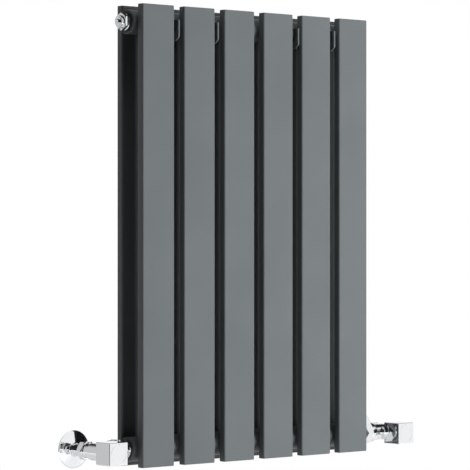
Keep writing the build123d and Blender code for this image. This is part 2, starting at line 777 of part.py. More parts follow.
# Fibre washers between the tailpieces and the valve bodies.
with BuildPart() as tail_washers:
    for side in (-1, 1):
        with BuildSketch(side_plane(side, branch_end - washer_t, lower_z)):
            Circle(branch_r - fit)
            Circle(branch_bore_r + fit, mode=Mode.SUBTRACT)
        extrude(amount=washer_t)
export(tail_washers, "tail_washers")
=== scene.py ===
# %% [markdown]
# # A double flat-panel radiator, finished for the camera
#
# The engineering model gives every piece its size and place.  This lesson dresses that model: each
# visible piece is rebuilt with the rounded rims, weld beads and turned edges that the real one has,
# and each finish is a procedural material named for what it is.  We work in metres, because that is
# Blender's unit, and we read every position from the model itself.

# %% Load the engineering model
import json
from math import cos, pi, radians, sin, sqrt, tan

import bmesh
import bpy
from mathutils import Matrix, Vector


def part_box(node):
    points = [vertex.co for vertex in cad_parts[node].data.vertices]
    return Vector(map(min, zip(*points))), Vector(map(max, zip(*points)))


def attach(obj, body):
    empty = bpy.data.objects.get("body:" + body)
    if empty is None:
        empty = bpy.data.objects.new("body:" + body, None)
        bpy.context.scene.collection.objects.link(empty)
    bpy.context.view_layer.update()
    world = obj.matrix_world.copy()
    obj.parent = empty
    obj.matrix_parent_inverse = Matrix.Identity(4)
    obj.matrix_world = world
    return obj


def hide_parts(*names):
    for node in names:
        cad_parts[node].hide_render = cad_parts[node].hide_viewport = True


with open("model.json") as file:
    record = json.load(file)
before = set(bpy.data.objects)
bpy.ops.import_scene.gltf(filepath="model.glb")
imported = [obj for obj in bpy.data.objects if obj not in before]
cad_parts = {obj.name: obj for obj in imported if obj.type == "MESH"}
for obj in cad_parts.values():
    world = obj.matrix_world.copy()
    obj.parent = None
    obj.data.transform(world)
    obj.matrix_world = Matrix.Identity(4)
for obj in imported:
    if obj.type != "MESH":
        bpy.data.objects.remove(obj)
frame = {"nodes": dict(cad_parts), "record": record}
nodes = frame["nodes"]
bpy.context.view_layer.update()
MM = 0.001
print("pieces in the model:", len(nodes))

# %% [markdown]
# ## Measure the model
#
# A radiator like this is a few simple bars and tubes, so a handful of boxes tells us everything:
# where the rows stand, where the collectors run and where the valve axes are.

# %% Boxes and axes
first_low, first_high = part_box("front_panel_1")
last_low, last_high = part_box("front_panel_6")
cap_low, cap_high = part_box("front_end_caps")
pipe_low, pipe_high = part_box("upper_collector")
floor_pipe_low, floor_pipe_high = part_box("lower_collector")

PANELS = 6
pitch = (last_low.x - first_low.x) / (PANELS - 1)
panel_w = first_high.x - first_low.x
panel_t = first_high.y - first_low.y
panel_h = cap_high.z - cap_low.z
mid_x = (first_low.x + last_high.x) / 2
mid_z = (cap_low.z + cap_high.z) / 2
collector_r = (pipe_high.y - pipe_low.y) / 2
collector_y = (pipe_high.y + pipe_low.y) / 2
upper_z = (pipe_high.z + pipe_low.z) / 2
lower_z = (floor_pipe_high.z + floor_pipe_low.z) / 2
print(f"panel {panel_w:.3f} x {panel_t:.3f} x {panel_h:.3f}, pitch {pitch:.4f}")


def middle(node):
    """The middle of a node's box."""
    low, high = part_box(node)
    return (low + high) / 2


# %% [markdown]
# ## One helper for materials
#
# A Blender material is a small graph.  This one function adds a node, sets its inputs and wires it
# up, so that each material below reads as a list of what the surface does.  Colours are written as
# the hex values of a paint chart and turned to linear light in one place.


# %% Graph helper and colours
def add(tree, kind, settings=None, **inputs):
    """Add a node; settings are its own attributes, inputs are values or sockets to connect."""
    made = tree.nodes.new(kind)
    for key, value in (settings or {}).items():
        setattr(made, key, value)
    for key, value in inputs.items():
        key = int(key[1:]) if key[0] == "_" and key[1:].isdigit() else key.replace("_", " ")
        socket = made.inputs[key]
        if isinstance(value, bpy.types.NodeSocket):
            tree.links.new(value, socket)
        else:
            socket.default_value = value
    return made


def linear(hex_colour):
    """An sRGB hex value as linear red, green, blue and alpha."""
    parts = [int(hex_colour[i:i + 2], 16) / 255 for i in (1, 3, 5)]
    return tuple(c / 12.92 if c <= 0.04045 else ((c + 0.055) / 1.055) ** 2.4 for c in parts) + (1.0,)


def ramp(tree, value, stops):
    """A colour ramp with the given (position, hex colour) stops."""
    made = add(tree, "ShaderNodeValToRGB", Fac=value)
    marks = made.color_ramp.elements
    marks[0].position, marks[0].color = stops[0][0], linear(stops[0][1])
    marks[1].position, marks[1].color = stops[-1][0], linear(stops[-1][1])
    for position, colour in stops[1:-1]:
        marks.new(position).color = linear(colour)
    return made.outputs["Color"]


def start_material(name):
    """An empty material, its graph, and the object coordinates that patterns follow."""
    made = bpy.data.materials.new(name)
    made.use_nodes = True
    tree = made.node_tree
    tree.nodes.clear()
    where = add(tree, "ShaderNodeTexCoord").outputs["Object"]
    return made, tree, where


def end_material(tree, shader):
    add(tree, "ShaderNodeOutputMaterial", Surface=shader.outputs[0])


def per(mm):
    """A texture's scale, in waves to the metre, for a feature of that size in millimetres."""
    return 1 / (mm * MM)


# %% [markdown]
# ## The finishes
#
# **Satin powder coat.**  The powder melts into a skin with a fine orange-peel ripple, about half a
# millimetre from crest to crest.  A slow change of tone over a hand's width keeps the long flat
# panels from looking like paper.


# %% Satin powder coat
def powder_coat(name, dark, light, roughness):
    made, tree, where = start_material(name)
    cloud = add(tree, "ShaderNodeTexNoise", Vector=where, Scale=per(90), Detail=3.0)
    peel = add(tree, "ShaderNodeTexNoise", Vector=where, Scale=per(0.9), Detail=2.0)
    rough = add(tree, "ShaderNodeMapRange", Value=peel.outputs["Fac"],
                To_Min=roughness - 0.04, To_Max=roughness + 0.06)
    bump = add(tree, "ShaderNodeBump", Height=peel.outputs["Fac"], Strength=0.10, Distance=0.04 * MM)
    shader = add(tree, "ShaderNodeBsdfPrincipled", Roughness=rough.outputs["Result"],
                 Base_Color=ramp(tree, cloud.outputs["Fac"], [(0.3, dark), (0.7, light)]),
                 IOR=1.5, Normal=bump.outputs["Normal"])
    end_material(tree, shader)
    return made


satin_enamel = powder_coat("satin powder coat, anthracite", "#434749", "#474B4D", 0.42)
bracket_enamel = powder_coat("satin powder coat, brackets", "#424648", "#464A4C", 0.48)
print("made", satin_enamel.name)

# %% [markdown]
# **Bright chrome plate.**  Chrome is a mirror with a cool cast.  What gives it away as plate on cast
# and polished brass is a very slow waviness from the buffing wheel, and faint hairlines that catch
# the light.


# %% Bright chrome plate
def chrome_plate(name, roughness, wave):
    made, tree, where = start_material(name)
    buff = add(tree, "ShaderNodeTexNoise", Vector=where, Scale=per(9), Detail=1.0)
    hair = add(tree, "ShaderNodeTexNoise", Vector=where, Scale=per(0.7), Detail=4.0)
    rough = add(tree, "ShaderNodeMapRange", Value=hair.outputs["Fac"],
                To_Min=roughness * 0.6, To_Max=roughness * 1.6)
    bump = add(tree, "ShaderNodeBump", Height=buff.outputs["Fac"], Strength=wave, Distance=0.3 * MM)
    shader = add(tree, "ShaderNodeBsdfPrincipled", Base_Color=linear("#F0F2F4"), Metallic=1.0,
                 Roughness=rough.outputs["Result"], Normal=bump.outputs["Normal"])
    end_material(tree, shader)
    return made


bright_chrome = chrome_plate("bright chrome plate", 0.05, 0.04)

# %% [markdown]
# **Turned brass, zinc plate and the dull pieces.**  Brass from the lathe keeps fine rings about a
# third of a millimetre apart.  Zinc-plated screws are greyer and rougher.  Rubber and nylon have no
# mirror at all, only a grain.


# %% Brass, zinc, rubber, nylon and fibre
def turned_metal(name, colour, roughness, ring_mm, axis):
    made, tree, where = start_material(name)
    rings = add(tree, "ShaderNodeTexWave", {"wave_type": "BANDS", "bands_direction": axis},
                Vector=where, Scale=per(ring_mm) / (2 * pi), Distortion=0.4, Detail=1.0)
    stain = add(tree, "ShaderNodeTexNoise", Vector=where, Scale=per(6), Detail=3.0)
    rough = add(tree, "ShaderNodeMapRange", Value=stain.outputs["Fac"],
                To_Min=roughness - 0.05, To_Max=roughness + 0.1)
    bump = add(tree, "ShaderNodeBump", Height=rings.outputs["Fac"], Strength=0.25, Distance=0.05 * MM)
    shader = add(tree, "ShaderNodeBsdfPrincipled", Base_Color=linear(colour), Metallic=1.0,
                 Roughness=rough.outputs["Result"], Normal=bump.outputs["Normal"])
    end_material(tree, shader)
    return made


def dull_skin(name, dark, light, roughness, grain_mm):
    made, tree, where = start_material(name)
    grain = add(tree, "ShaderNodeTexNoise", Vector=where, Scale=per(grain_mm), Detail=3.0)
    bump = add(tree, "ShaderNodeBump", Height=grain.outputs["Fac"], Strength=0.3, Distance=0.05 * MM)
    shader = add(tree, "ShaderNodeBsdfPrincipled", Roughness=roughness,
                 Base_Color=ramp(tree, grain.outputs["Fac"], [(0.35, dark), (0.65, light)]),
                 IOR=1.5, Normal=bump.outputs["Normal"])
    end_material(tree, shader)
    return made


turned_brass = turned_metal("turned brass", "#C9A35A", 0.25, 0.35, "Y")
zinc_steel = turned_metal("zinc-plated steel", "#A9ADB2", 0.35, 0.4, "X")
black_rubber = dull_skin("black EPDM rubber", "#141414", "#1C1C1D", 0.7, 0.4)
black_nylon = dull_skin("black nylon", "#17181A", "#202123", 0.5, 0.6)
red_fibre = dull_skin("red vulcanised fibre", "#7A2418", "#8E2E1E", 0.75, 0.5)

# %% [markdown]
# ## Dress the pieces that keep their engineering shape
#
# Inner parts such as spindles and washers are right as they are.  They only need their finish.  The
# record already says which finish each piece has, so one table covers them all.

# %% Finish by slot
finishes = {
    "satin_grey_enamel": satin_enamel,
    "bracket_enamel": bracket_enamel,
    "bright_chrome": bright_chrome,
    "turned_brass": turned_brass,
    "zinc_steel": zinc_steel,
    "black_rubber": black_rubber,
    "black_nylon": black_nylon,
    "red_fibre": red_fibre,
}
slot_of = {s["node"]: s["material_slot"] for s in frame["record"]["subparts"]}
for name, thing in nodes.items():
    thing.data.materials.clear()
    thing.data.materials.append(finishes[slot_of[name]])
print("dressed", len(nodes), "nodes")

# %% [markdown]
# ## Two ways to make metalwork
#
# Almost every fitting here was **turned** on a lathe, so we turn it too: a profile is spun about an
# axis.  A nut is the same thing with one change, because a hexagon bar is put in the lathe instead
# of a round one.  Where the profile is wider than the bar, the flat of the hexagon stays.  That one
# rule also gives the curved shoulders that the chamfer leaves on each flat.


# %% Turning
def soften(points, radius, steps=4, closed=False):
    """Round the corners of a profile with short arcs, as a tool or a buffing wheel does."""
    count = len(points)
    out = []
    for i, point in enumerate(points):
        if not closed and i in (0, count - 1):
            out.append(Vector(point))
            continue
        here = Vector(point)
        before, after = Vector(points[i - 1]) - here, Vector(points[(i + 1) % count]) - here
        r = min(radius, before.length * 0.45, after.length * 0.45)
        a, b = here + before.normalized() * r, here + after.normalized() * r
        for k in range(steps + 1):
            t = k / steps
            out.append(a * (1 - t) ** 2 + here * 2 * t * (1 - t) + b * t ** 2)
    return out


def hexagon(across_flats, angle):
    """How far out a hexagon bar reaches in that direction."""
    return across_flats / 2 / cos((angle + pi / 6) % (pi / 3) - pi / 6)


def turn(name, centre, axis, profile, closed=False, flats=None, steps=96, start=0.0):
    """Spin a profile of (along, radius) points about an axis through centre.

    closed joins the last point to the first, for rings.  flats is the width of a hexagon bar, and it
    only shapes the points that end in True.
    """
    axis = Vector(axis)
    side = Vector((1, 0, 0)) if abs(axis.z) > 0.5 else Vector((0, 0, 1))
    up = axis.cross(side)
    bm = bmesh.new()
    rows = []
    for along, radius, *bar in profile:
        if radius < 1e-7:
            rows.append([bm.verts.new(centre + axis * along)])
            continue
        row = []
        for k in range(steps):
            angle = 2 * pi * k / steps + start
            r = min(radius, hexagon(flats, angle - start)) if bar else radius
            row.append(bm.verts.new(centre + axis * along + (side * cos(angle) + up * sin(angle)) * r))
        rows.append(row)
    pairs = list(zip(rows, rows[1:])) + ([(rows[-1], rows[0])] if closed else [])
    for low, high in pairs:
        for k in range(steps):
            corners = [low[k % len(low)], low[(k + 1) % len(low)],
                       high[(k + 1) % len(high)], high[k % len(high)]]
            corners = list(dict.fromkeys(corners))
            if len(corners) > 2:
                bm.faces.new(corners)
    return from_bmesh(name, bm)


def from_bmesh(name, bm, smooth_angle=32):
    """Close a bmesh into an object whose faces point outwards."""
    bmesh.ops.remove_doubles(bm, verts=bm.verts, dist=1e-7)
    bmesh.ops.recalc_face_normals(bm, faces=bm.faces)
    mesh = bpy.data.meshes.new(name)
    bm.to_mesh(mesh)
    bm.free()
    mesh.shade_smooth()
    mesh.set_sharp_from_angle(angle=radians(smooth_angle))
    made = bpy.data.objects.new(name, mesh)
    bpy.context.scene.collection.objects.link(made)
    return made


def finish_piece(piece, body, material, slot, *replaced):
    """Give a piece its finish and its place in the model."""
    piece.data.materials.clear()
    piece.data.materials.append(material)
    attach(piece, body)
    if replaced:
        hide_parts(*replaced)
    return piece


def applied(piece):
    """Turn a piece with modifiers into a plain mesh."""
    bpy.context.view_layer.update()
    graph = bpy.context.evaluated_depsgraph_get()
    mesh = bpy.data.meshes.new_from_object(piece.evaluated_get(graph))
    piece.modifiers.clear()
    piece.data = mesh
    return piece


def weigh_normals(piece):
    """Let the large flat faces keep their own direction, so that only the rims look round."""
    step = piece.modifiers.new("weighted", "WEIGHTED_NORMAL")
    step.mode = "FACE_AREA"
    step.weight = 100
    step.keep_sharp = True


# %% [markdown]
# ## The panels
#
# Each panel is a flat steel tube with a cap welded into each end and ground smooth, so its rim is
# slightly rounded and a hair-fine seam runs round it 2 mm from the end.  We stack outlines from the
# bottom to the top, each a rounded rectangle pulled in by a little where the rim or the seam is.


# %% One panel
EDGE_R = 2.5 * MM
RIM_R = 1.1 * MM
SEAM_AT = 2.0 * MM
SEAM_W = 0.5 * MM
SEAM_DEEP = 0.14 * MM


def outline(width, depth, radius, inset, steps=6):
    """A rounded rectangle, pulled in by inset, as points in the ground plane."""
    points = []
    r = max(radius - inset, 0.1 * MM)
    for corner, (sx, sy) in enumerate(((1, 1), (-1, 1), (-1, -1), (1, -1))):
        cx, cy = sx * (width / 2 - inset - r), sy * (depth / 2 - inset - r)
        for k in range(steps + 1):
            angle = pi / 2 * (corner + k / steps)
            points.append((cx + r * cos(angle), cy + r * sin(angle)))
    return points


def panel_mesh(name):
    rim = [(RIM_R * (1 - cos(t)), RIM_R * (1 - sin(t))) for t in (pi / 2 * k / 5 for k in range(6))]
    seam = [(SEAM_AT - SEAM_W, 0.0), (SEAM_AT, SEAM_DEEP), (SEAM_AT + SEAM_W, 0.0)]
    low_end = rim + seam
    levels = [(z, inset) for z, inset in low_end] + [(panel_h - z, inset) for z, inset in reversed(low_end)]
    bm = bmesh.new()
    rings = []
    for z, inset in levels:
        ring = outline(panel_w, panel_t, EDGE_R, inset)
        rings.append([bm.verts.new((x, y, z - panel_h / 2)) for x, y in ring])
    for low, high in zip(rings, rings[1:]):
        for k in range(len(low)):
            bm.faces.new((low[k], low[(k + 1) % len(low)], high[(k + 1) % len(low)], high[k]))
    bm.faces.new(rings[0])
    bm.faces.new(rings[-1])
    return from_bmesh(name, bm, smooth_angle=50)


# %% [markdown]
# ## A row of panels with Geometry Nodes
#
# Six equal panels at an equal pitch is a job for instancing: a line of points, one panel on each.
# The tree has named inputs, so another radiator of this kind is a change of two numbers.


# %% The row tree
def socket_of(tree, name):
    return next(s.identifier for s in tree.interface.items_tree if s.name == name and s.in_out == "INPUT")


def row_tree():
    tree = bpy.data.node_groups.new("row of equal pieces", "GeometryNodeTree")
    for name, kind in (("Piece", "Geometry"), ("Count", "Int"), ("Pitch", "Vector"), ("Levels", "Int"),
                       ("Rise", "Vector"), ("Start", "Vector"), ("Material", "Material")):
        tree.interface.new_socket(name, in_out="INPUT", socket_type=f"NodeSocket{kind}")
    tree.interface.new_socket("Geometry", in_out="OUTPUT", socket_type="NodeSocketGeometry")
    inputs = add(tree, "NodeGroupInput").outputs
    line = add(tree, "GeometryNodeMeshLine", {"mode": "OFFSET"}, Count=inputs["Count"],
               Start_Location=inputs["Start"], Offset=inputs["Pitch"])
    row = add(tree, "GeometryNodeInstanceOnPoints", Points=line.outputs[0], Instance=inputs["Piece"])
    stack = add(tree, "GeometryNodeMeshLine", {"mode": "OFFSET"}, Count=inputs["Levels"],
                Offset=inputs["Rise"])
    every = add(tree, "GeometryNodeInstanceOnPoints", Points=stack.outputs[0], Instance=row.outputs[0])
    real = add(tree, "GeometryNodeRealizeInstances", Geometry=every.outputs[0])
    painted = add(tree, "GeometryNodeSetMaterial", Geometry=real.outputs[0], Material=inputs["Material"])
    add(tree, "NodeGroupOutput", Geometry=painted.outputs[0])
    return tree


repeat = row_tree()


def repeated(piece, start, count, step, levels=1, rise=(0, 0, 0), material=satin_enamel):
    """The piece, repeated along a line and then in levels, as one plain mesh."""
    modifier = piece.modifiers.new("row", "NODES")
    modifier.node_group = repeat
    values = {"Count": count, "Pitch": step, "Levels": levels, "Rise": rise, "Start": start,
              "Material": material}
    for name, value in values.items():
        modifier[socket_of(repeat, name)] = value
    return applied(piece)


# %% [markdown]
# The front and the rear row are the same panel and the same tree, with another starting point.

# %% Both rows
for row in ("front", "rear"):
    start = (middle(f"{row}_panel_1").x, middle(f"{row}_panel_1").y, mid_z)
    panels = repeated(panel_mesh(f"{row}_row_of_panels"), start, PANELS, (pitch, 0, 0))
    weigh_normals(panels)
    finish_piece(panels, "radiator", satin_enamel, "satin_grey_enamel", f"{row}_end_caps",
                 *[f"{row}_panel_{n + 1}" for n in range(PANELS)])
    print(panels.name, "faces:", len(panels.data.polygons))

# %% [markdown]
# ## The collectors and their weld beads
#
# The collectors are plain tubes with a boss welded into each end, so the end shows a rounded rim, a
# bead and a flat ring.  Where a panel meets a collector there is a short nipple with a bead round
# it.  The bead lies on a flat panel on one side and on a round tube on the other, so its far edge
# has to follow the tube: that is one square root.

# %% Collectors
END_RIM = 1.2 * MM
BEAD_AT = 13.9 * MM
BEAD_R = 0.7 * MM
FACE_IN = 0.7 * MM
BORE_R = 10.55 * MM
BOSS_L = 12 * MM
half_length = (pipe_high.x - pipe_low.x) / 2


def collector_end():
    """From the tube's rim inwards to the bore: (distance in from the end, radius)."""
    face = [(0.0, collector_r - END_RIM), (0.0, BEAD_AT + 2 * BEAD_R), (FACE_IN, BEAD_AT + BEAD_R)]
    bead = [(FACE_IN - BEAD_R * sin(t), BEAD_AT + BEAD_R * cos(t)) for t in (pi * k / 6 for k in range(1, 6))]
    return face + bead + [(FACE_IN, BEAD_AT - BEAD_R), (FACE_IN, BORE_R), (BOSS_L, BORE_R)]


for level, z, nodes_here in (("upper", upper_z, ("upper_collector", "collector_end_bosses")),
                             ("lower", lower_z, ("lower_collector",))):
    rim = [(END_RIM * (1 - sin(t)), collector_r - END_RIM * (1 - cos(t)))
           for t in (pi / 2 * k / 5 for k in range(6))]
    end = rim + collector_end()
    profile = [(x - half_length, r) for x, r in reversed(end)] + [(half_length - x, r) for x, r in end]
    wall = [(half_length - BOSS_L, BORE_R * 0.98), (BOSS_L - half_length, BORE_R * 0.98)]
    tube = turn(f"{level}_collector_tube", Vector((mid_x, collector_y, z)), (1, 0, 0),
                profile + wall, closed=True, steps=128)
    finish_piece(tube, "radiator", satin_enamel, "satin_grey_enamel", *nodes_here)
print("collectors turned, radius", round(collector_r, 4))

# %% [markdown]
# A weld bead is laid by hand in small steps, so its edge ripples.  One bead is built and the row tree
# repeats it for every panel at both collectors.

# %% Weld beads round the nipples
NIPPLE_R = 8 * MM
BEAD_W = 2.0 * MM
RIPPLE = 0.08 * MM
RIPPLES = 30
# how far across the gap and how far out, from the panel to the collector
BEAD_SECTION = ((0.0, 0.0), (0.0, 1.0), (0.25, 0.35), (0.5, 0.2), (0.75, 0.35), (1.0, 1.0), (1.0, 0.0))
row_gap = collector_y - first_high.y


def bead_mesh(name, towards):
    """A welded collar between a collector and the panel in front of it (1) or behind it (-1)."""
    bm = bmesh.new()
    steps = 96
    rings = []
    for share, spread in BEAD_SECTION:
        ring = []
        for k in range(steps):
            angle = 2 * pi * k / steps
            ripple = RIPPLE * sin(RIPPLES * angle) * spread
            r = NIPPLE_R + BEAD_W * spread + ripple
            x, z = r * cos(angle), r * sin(angle)
            tube_face = sqrt(collector_r ** 2 - z ** 2)
            y = row_gap + (tube_face - row_gap) * share
            ring.append(bm.verts.new((x, -towards * y, z)))
        rings.append(ring)
    for low, high in zip(rings, rings[1:] + rings[:1]):
        for k in range(steps):
            bm.faces.new((low[k], low[(k + 1) % steps], high[(k + 1) % steps], high[k]))
    return from_bmesh(name, bm, smooth_angle=60)


for row, towards in (("front", 1), ("rear", -1)):
    start = (middle("front_panel_1").x, collector_y, lower_z)
    beads = repeated(bead_mesh(f"{row}_weld_beads", towards), start, PANELS, (pitch, 0, 0), 2,
                     (0, 0, upper_z - lower_z))
    finish_piece(beads, "radiator", satin_enamel, "satin_grey_enamel")
print("weld beads:", 2 * 2 * PANELS)

# %% [markdown]
# ## The bleed plug
#
# A hexagon plug closes the collector, with a rubber ring under its collar.  In its middle sits a
# nozzle ring that can be swung to point the spitting water down into a cup, and in the middle of
# that is the square-headed bleed screw.  Each is turned by itself, because each turns by itself.

# %% Plug, seal, nozzle and screw
seal_low, seal_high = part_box("vent_seal")
nozzle_low, nozzle_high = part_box("vent_nozzle")
screw_low, screw_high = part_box("vent_screw")
left_face = Vector((seal_high.x, collector_y, upper_z))
SEAL_T = seal_high.x - seal_low.x
SEAL_R = (seal_high.z - seal_low.z) / 2
COLLAR_R = 12 * MM
COLLAR_T = 2 * MM
PLUG_AF = 22 * MM
HEX_T = 6 * MM
CORE_R = 5.5 * MM
CORE_L = 4.5 * MM
LIP_R = 6.2 * MM
SOCKET_R = 3.05 * MM
PLUG_THREAD_R = 10.4 * MM
PLUG_THREAD_L = 10 * MM
THREAD_LEAD = 0.8 * MM
SEAL_IN = 10.5 * MM
BLANK_HEX_T = 4 * MM
hex_from = SEAL_T + COLLAR_T
hex_to = hex_from + HEX_T


def seal_ring(name, centre, axis, inner, outer, thickness, *replaced):
    ring = soften([(0, inner), (thickness, inner), (thickness, outer), (0, outer)], 0.6 * MM, closed=True)
    made = turn(name, centre, axis, ring, closed=True)
    return finish_piece(made, "radiator", black_rubber, "black_rubber", *replaced)


seal_ring("bleed_plug_seal", left_face, (-1, 0, 0), SEAL_IN, SEAL_R, SEAL_T, "vent_seal")
right_face = Vector((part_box("blanking_seal")[0].x, collector_y, upper_z))
seal_ring("blanking_plug_seal", right_face, (1, 0, 0), SEAL_IN, SEAL_R, SEAL_T, "blanking_seal")


def hex_profile(start, end, across_flats, chamfer):
    """A hexagon bar's stretch with both ends chamfered, as stations dense enough for the curves."""
    corner = across_flats / 2 / cos(pi / 6)
    flat = across_flats / 2 - 0.15 * MM
    tall = (corner - flat) * tan(radians(chamfer))
    steps = [k / 6 for k in range(7)]
    rise = [(start + tall * t, flat + (corner - flat) * t, True) for t in steps]
    fall = [(end - tall * t, flat + (corner - flat) * t, True) for t in reversed(steps)]
    return rise + fall


def plug(name, face, axis, end, core, *replaced):
    thread = [(-PLUG_THREAD_L, 0), (-PLUG_THREAD_L, PLUG_THREAD_R - THREAD_LEAD),
              (THREAD_LEAD - PLUG_THREAD_L, PLUG_THREAD_R), (SEAL_T, PLUG_THREAD_R)]
    collar = [(SEAL_T, COLLAR_R - 0.4 * MM), (SEAL_T + 0.4 * MM, COLLAR_R), (hex_from - 0.6 * MM, COLLAR_R),
              (hex_from, COLLAR_R - 0.6 * MM)]
    head = hex_profile(hex_from, end, PLUG_AF, 28)
    made = turn(name, face, axis, thread + collar + head + core, flats=PLUG_AF, start=pi / 6)
    return finish_piece(made, "radiator", bright_chrome, "bright_chrome", *replaced)


core_end = hex_to + CORE_L
core = [(hex_to, CORE_R), (core_end - 0.6 * MM, CORE_R), (core_end - 0.4 * MM, LIP_R),
        (core_end, LIP_R - 0.2 * MM), (core_end, SOCKET_R), (hex_from, SOCKET_R), (hex_from, 0)]
plug("bleed_plug", left_face, (-1, 0, 0), hex_to, core, "vent_body")
blank_end = hex_from + BLANK_HEX_T
cover = [(blank_end, PLUG_AF / 2 - 2.5 * MM), (blank_end, 0)]
plug("blanking_plug", right_face, (1, 0, 0), blank_end, cover, "blanking_plug")

# %% [markdown]
# The nozzle is a loose ring with a small spout, held by the lip of the plug.  The screw is turned and
# then gets a square milled on its end for the bleed key.

# %% Nozzle ring and bleed screw
RING_IN = 5.6 * MM
nozzle_l = nozzle_high.x - nozzle_low.x
nozzle_at = left_face + Vector((nozzle_high.x - left_face.x, 0, 0))
ring_out = (nozzle_high.y - nozzle_low.y) / 2
SPOUT_R = 1.9 * MM
SPOUT_BORE = 0.95 * MM
ring_profile = soften([(0, RING_IN), (0, ring_out), (nozzle_l, ring_out), (nozzle_l, RING_IN)],
                      0.9 * MM, 4, True)
nozzle_ring = turn("bleed_nozzle_ring", nozzle_at, (-1, 0, 0), ring_profile, closed=True)
spout_top = Vector((nozzle_at.x - nozzle_l / 2, collector_y, upper_z - ring_out + 1.2 * MM))
spout_drop = spout_top.z - nozzle_low.z
spout_profile = soften([(0, SPOUT_BORE), (0, SPOUT_R), (spout_drop, SPOUT_R - 0.2 * MM),
                        (spout_drop, SPOUT_BORE)], 0.3 * MM, 3, True)
spout = turn("bleed_nozzle_spout", spout_top, (0, 0, -1), spout_profile, closed=True, steps=32)
finish_piece(nozzle_ring, "bleed_nozzle", bright_chrome, "bright_chrome", "vent_nozzle")
finish_piece(spout, "bleed_nozzle", bright_chrome, "bright_chrome")

KEY = 5 * MM
KEY_L = 3.4 * MM
SCREW_R = 2.95 * MM
CORNER_SHARE = 1.30
screw_l = screw_high.x - screw_low.x
shank_l = screw_l - KEY_L


def square_bar(width, angle):
    """How far out a square bar reaches in that direction."""
    return width / 2 / cos((angle + pi / 4) % (pi / 2) - pi / 4)


def square_end(name, centre, axis, shank, key_start, key_end, width, steps=96):
    """A turned shank with a square milled on its end and its corners broken."""
    made = turn(name, centre, axis, shank, steps=steps)
    bm = bmesh.new()
    bm.from_mesh(made.data)
    side = Vector((0, 0, 1))
    up = Vector(axis).cross(side)
    rings = []
    corner = width / 2 * CORNER_SHARE
    for along, most in ((key_start, corner), (key_end - 0.5 * MM, corner), (key_end, width / 2 - 0.1 * MM)):
        ring = []
        for k in range(steps):
            angle = 2 * pi * (k + 0.5) / steps
            r = min(most, square_bar(width, angle))
            spoke = side * cos(angle) + up * sin(angle)
            ring.append(bm.verts.new(centre + Vector(axis) * along + spoke * r))
        rings.append(ring)
    for low, high in zip(rings, rings[1:]):
        for k in range(steps):
            bm.faces.new((low[k], low[(k + 1) % steps], high[(k + 1) % steps], high[k]))
    bm.faces.new(rings[0])
    bm.faces.new(rings[-1])
    old = made.name
    bpy.data.objects.remove(made)
    return from_bmesh(old, bm)


screw_at = Vector((screw_high.x, collector_y, upper_z))
shank = [(0, 0), (0, 1.2 * MM), (1.2 * MM, SCREW_R), (shank_l - 0.2 * MM, SCREW_R),
         (shank_l, SCREW_R - 0.2 * MM), (shank_l, 0)]
screw = square_end("bleed_screw", screw_at, (-1, 0, 0), shank, shank_l, screw_l, KEY)
finish_piece(screw, "bleed_screw", bright_chrome, "bright_chrome", "vent_screw")
print("bleed plug made")

# %% [markdown]
# ## The valves
#
# Each valve is an angled body: a barrel towards the room, a neck towards the wall and a branch
# towards the radiator.  The barrel and the neck are one turned piece and the branch is another, and a
# Boolean union joins them.  The crease where they meet stays crisp, as on a polished casting.

# %% Valve bodies
BARREL_R = 12.25 * MM
NECK_R = 10.5 * MM
BRANCH_R = 12 * MM
CHAMBER_R = 9 * MM
CHAMBER_FLOOR = 13 * MM
PIPE_BORE = 8.2 * MM
BARREL_BACK = -5.5 * MM
BRANCH_BORE = 8 * MM
BRANCH_FLOOR = 14 * MM
BRANCH_THREAD = 12.6 * MM
NECK_THREAD = 9 * MM
RELIEF = 0.3 * MM
THREAD_PITCH = 1.4 * MM
THREAD_DEEP = 0.45 * MM


def threads(start, end, crest):
    """A run of thread as a zigzag profile.  The ridges are rings, which look the same as a helix."""
    count = max(int(abs(end - start) / THREAD_PITCH), 1)
    step = (end - start) / count
    points = []
    for k in range(count):
        points += [(start + step * (k + 0.1), crest - THREAD_DEEP), (start + step * (k + 0.5), crest),
                   (start + step * (k + 0.6), crest)]
    return points


def join_castings(base, *others):
    """One closed casting from parts that run into each other."""
    for other in others:
        step = base.modifiers.new("join", "BOOLEAN")
        step.operation = "UNION"
        step.solver = "EXACT"
        step.object = other
    applied(base)
    for other in others:
        bpy.data.objects.remove(other)
    bm = bmesh.new()
    bm.from_mesh(base.data)
    old = base.name
    bpy.data.objects.remove(base)
    return from_bmesh(old, bm, smooth_angle=28)


def valve_axis(name):
    """Where the valve's own axis crosses the collector's axis."""
    return Vector((middle(f"{name}_pipe").x, collector_y, lower_z))


